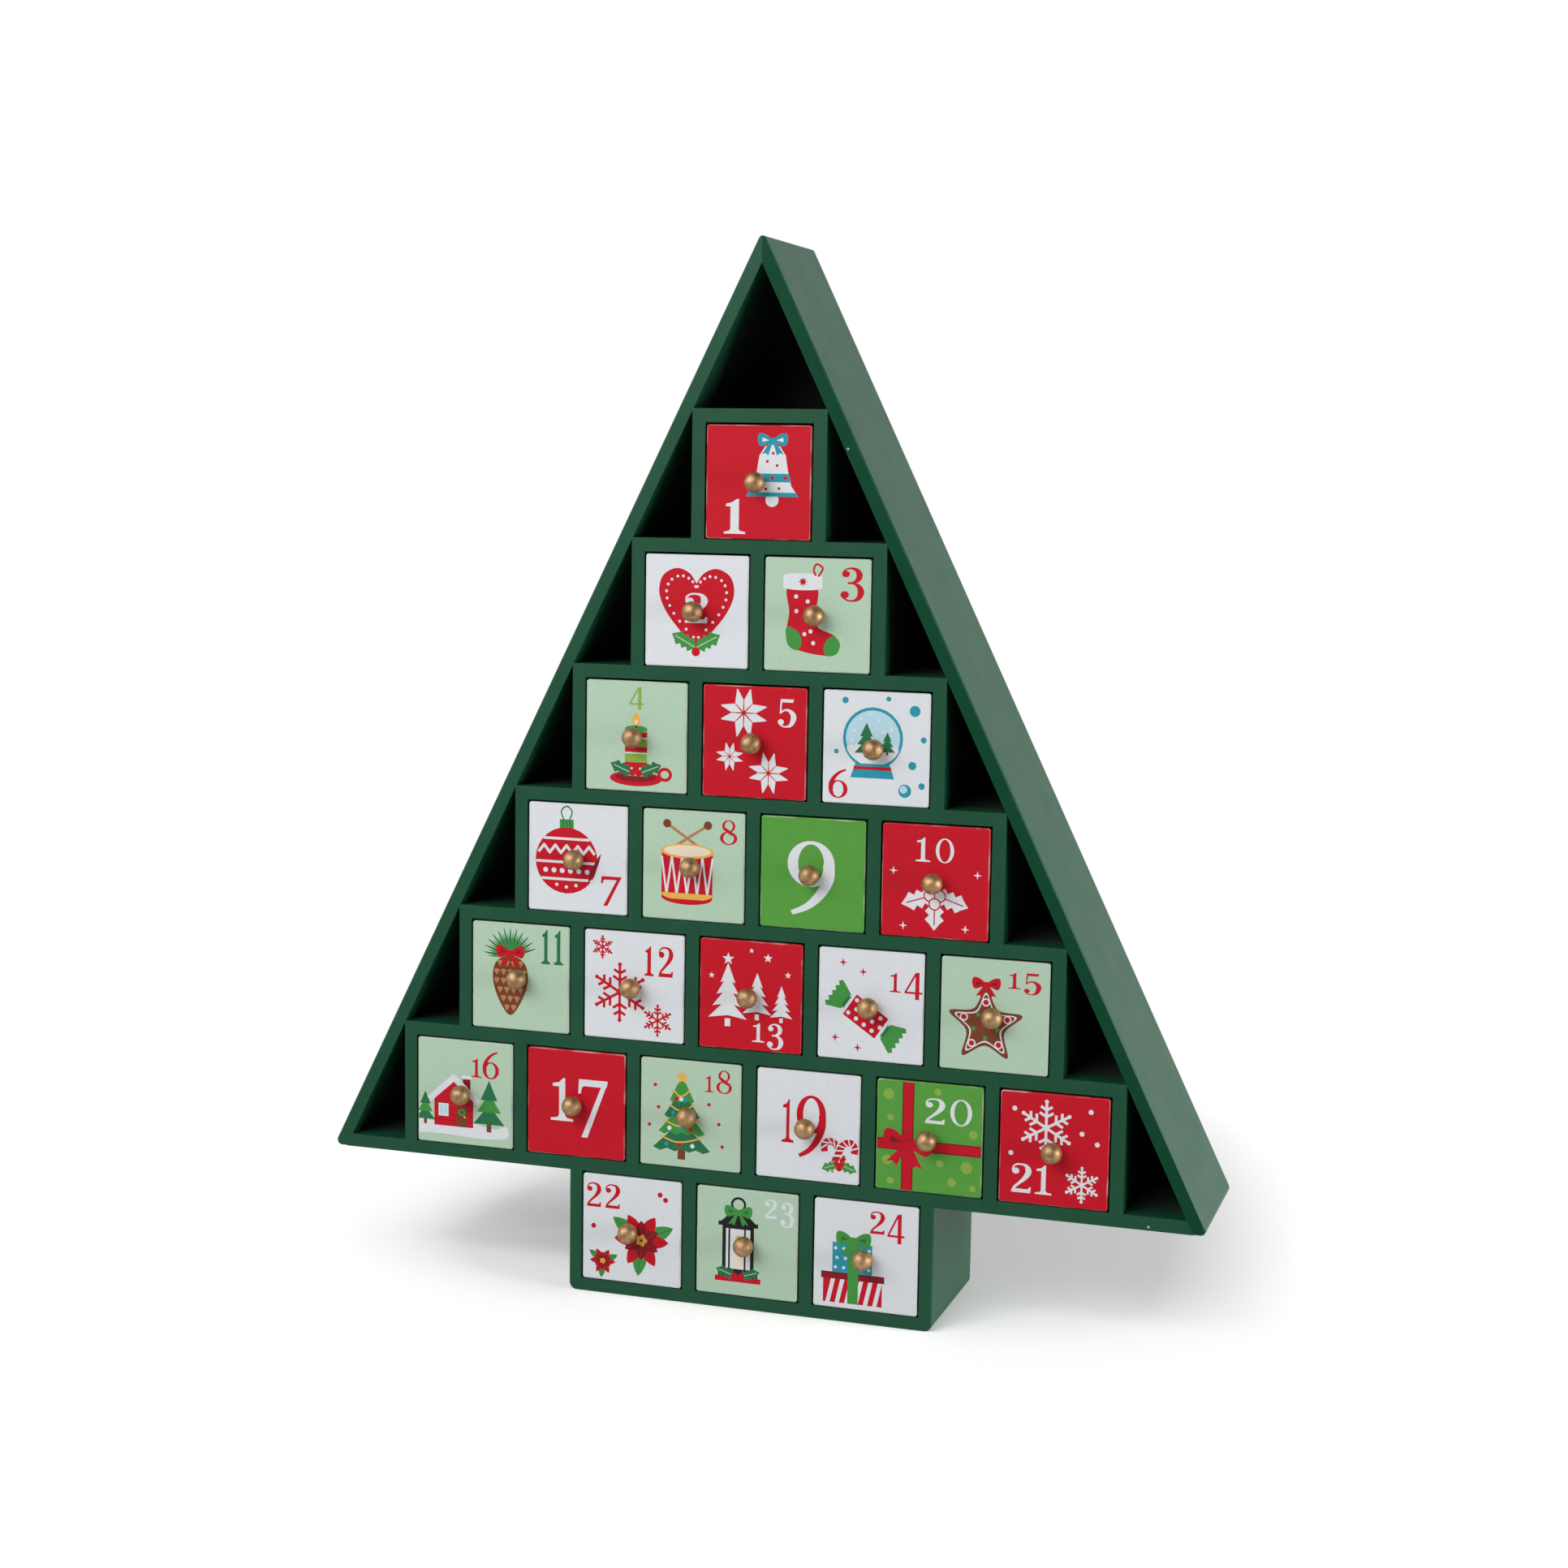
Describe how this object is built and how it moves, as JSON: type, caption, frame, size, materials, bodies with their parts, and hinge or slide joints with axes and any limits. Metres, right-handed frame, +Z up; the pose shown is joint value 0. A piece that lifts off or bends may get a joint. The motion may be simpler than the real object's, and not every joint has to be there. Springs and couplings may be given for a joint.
{
  "type": "advent calendar",
  "caption": "Fir-tree shaped wooden advent calendar: a painted board frame on a short trunk, with rows of small numbered pull-out drawers, each with a round brass knob.",
  "frame": {"origin": "centre of the trunk's underside, at mid-depth of the carcass", "axes": "+Z up along the tree, +X to the right of someone facing the drawers, -Y out of the front"},
  "size_m": [0.34, 0.0684, 0.395],
  "materials": {
    "green_paint": "satin paint",
    "back_paint": "matt paint",
    "red_front": "printed paper",
    "white_front": "printed paper",
    "pale_green_front": "printed paper",
    "bright_green_front": "printed paper",
    "brass_knob": "satin"
  },
  "bodies": {
    "carcass": {"left_side_board": "green_paint", "right_side_board": "green_paint", "base_board": "green_paint", "shelf_1": "green_paint", "shelf_2": "green_paint", "shelf_3": "green_paint", "shelf_4": "green_paint", "shelf_5": "green_paint", "shelf_6": "green_paint", "dividers": "green_paint", "trunk_box": "green_paint", "back_panels": "back_paint"},
    "drawer_unit_01": {"drawer_01": "red_front", "knob_01": "brass_knob"},
    "drawer_unit_02": {"drawer_02": "white_front", "knob_02": "brass_knob"},
    "drawer_unit_03": {"drawer_03": "pale_green_front", "knob_03": "brass_knob"},
    "drawer_unit_04": {"drawer_04": "pale_green_front", "knob_04": "brass_knob"},
    "drawer_unit_05": {"drawer_05": "red_front", "knob_05": "brass_knob"},
    "drawer_unit_06": {"drawer_06": "white_front", "knob_06": "brass_knob"},
    "drawer_unit_07": {"drawer_07": "white_front", "knob_07": "brass_knob"},
    "drawer_unit_08": {"drawer_08": "pale_green_front", "knob_08": "brass_knob"},
    "drawer_unit_09": {"drawer_09": "bright_green_front", "knob_09": "brass_knob"},
    "drawer_unit_10": {"drawer_10": "red_front", "knob_10": "brass_knob"},
    "drawer_unit_11": {"drawer_11": "pale_green_front", "knob_11": "brass_knob"},
    "drawer_unit_12": {"drawer_12": "white_front", "knob_12": "brass_knob"},
    "drawer_unit_13": {"drawer_13": "red_front", "knob_13": "brass_knob"},
    "drawer_unit_14": {"drawer_14": "white_front", "knob_14": "brass_knob"},
    "drawer_unit_15": {"drawer_15": "pale_green_front", "knob_15": "brass_knob"},
    "drawer_unit_16": {"drawer_16": "pale_green_front", "knob_16": "brass_knob"},
    "drawer_unit_17": {"drawer_17": "red_front", "knob_17": "brass_knob"},
    "drawer_unit_18": {"drawer_18": "pale_green_front", "knob_18": "brass_knob"},
    "drawer_unit_19": {"drawer_19": "white_front", "knob_19": "brass_knob"},
    "drawer_unit_20": {"drawer_20": "bright_green_front", "knob_20": "brass_knob"},
    "drawer_unit_21": {"drawer_21": "red_front", "knob_21": "brass_knob"},
    "drawer_unit_22": {"drawer_22": "white_front", "knob_22": "brass_knob"},
    "drawer_unit_23": {"drawer_23": "pale_green_front", "knob_23": "brass_knob"},
    "drawer_unit_24": {"drawer_24": "white_front", "knob_24": "brass_knob"}
  },
  "joints": [
    {"name": "drawer_slide_01", "type": "slide", "parent": "carcass", "child": "drawer_unit_01", "axis": [0, -1, 0], "range_m": [0, 0.048]},
    {"name": "drawer_slide_02", "type": "slide", "parent": "carcass", "child": "drawer_unit_02", "axis": [0, -1, 0], "range_m": [0, 0.048]},
    {"name": "drawer_slide_03", "type": "slide", "parent": "carcass", "child": "drawer_unit_03", "axis": [0, -1, 0], "range_m": [0, 0.048]},
    {"name": "drawer_slide_04", "type": "slide", "parent": "carcass", "child": "drawer_unit_04", "axis": [0, -1, 0], "range_m": [0, 0.048]},
    {"name": "drawer_slide_05", "type": "slide", "parent": "carcass", "child": "drawer_unit_05", "axis": [0, -1, 0], "range_m": [0, 0.048]},
    {"name": "drawer_slide_06", "type": "slide", "parent": "carcass", "child": "drawer_unit_06", "axis": [0, -1, 0], "range_m": [0, 0.048]},
    {"name": "drawer_slide_07", "type": "slide", "parent": "carcass", "child": "drawer_unit_07", "axis": [0, -1, 0], "range_m": [0, 0.048]},
    {"name": "drawer_slide_08", "type": "slide", "parent": "carcass", "child": "drawer_unit_08", "axis": [0, -1, 0], "range_m": [0, 0.048]},
    {"name": "drawer_slide_09", "type": "slide", "parent": "carcass", "child": "drawer_unit_09", "axis": [0, -1, 0], "range_m": [0, 0.048]},
    {"name": "drawer_slide_10", "type": "slide", "parent": "carcass", "child": "drawer_unit_10", "axis": [0, -1, 0], "range_m": [0, 0.048]},
    {"name": "drawer_slide_11", "type": "slide", "parent": "carcass", "child": "drawer_unit_11", "axis": [0, -1, 0], "range_m": [0, 0.048]},
    {"name": "drawer_slide_12", "type": "slide", "parent": "carcass", "child": "drawer_unit_12", "axis": [0, -1, 0], "range_m": [0, 0.048]},
    {"name": "drawer_slide_13", "type": "slide", "parent": "carcass", "child": "drawer_unit_13", "axis": [0, -1, 0], "range_m": [0, 0.048]},
    {"name": "drawer_slide_14", "type": "slide", "parent": "carcass", "child": "drawer_unit_14", "axis": [0, -1, 0], "range_m": [0, 0.048]},
    {"name": "drawer_slide_15", "type": "slide", "parent": "carcass", "child": "drawer_unit_15", "axis": [0, -1, 0], "range_m": [0, 0.048]},
    {"name": "drawer_slide_16", "type": "slide", "parent": "carcass", "child": "drawer_unit_16", "axis": [0, -1, 0], "range_m": [0, 0.048]},
    {"name": "drawer_slide_17", "type": "slide", "parent": "carcass", "child": "drawer_unit_17", "axis": [0, -1, 0], "range_m": [0, 0.048]},
    {"name": "drawer_slide_18", "type": "slide", "parent": "carcass", "child": "drawer_unit_18", "axis": [0, -1, 0], "range_m": [0, 0.048]},
    {"name": "drawer_slide_19", "type": "slide", "parent": "carcass", "child": "drawer_unit_19", "axis": [0, -1, 0], "range_m": [0, 0.048]},
    {"name": "drawer_slide_20", "type": "slide", "parent": "carcass", "child": "drawer_unit_20", "axis": [0, -1, 0], "range_m": [0, 0.048]},
    {"name": "drawer_slide_21", "type": "slide", "parent": "carcass", "child": "drawer_unit_21", "axis": [0, -1, 0], "range_m": [0, 0.048]},
    {"name": "drawer_slide_22", "type": "slide", "parent": "carcass", "child": "drawer_unit_22", "axis": [0, -1, 0], "range_m": [0, 0.048]},
    {"name": "drawer_slide_23", "type": "slide", "parent": "carcass", "child": "drawer_unit_23", "axis": [0, -1, 0], "range_m": [0, 0.048]},
    {"name": "drawer_slide_24", "type": "slide", "parent": "carcass", "child": "drawer_unit_24", "axis": [0, -1, 0], "range_m": [0, 0.048]}
  ]
}
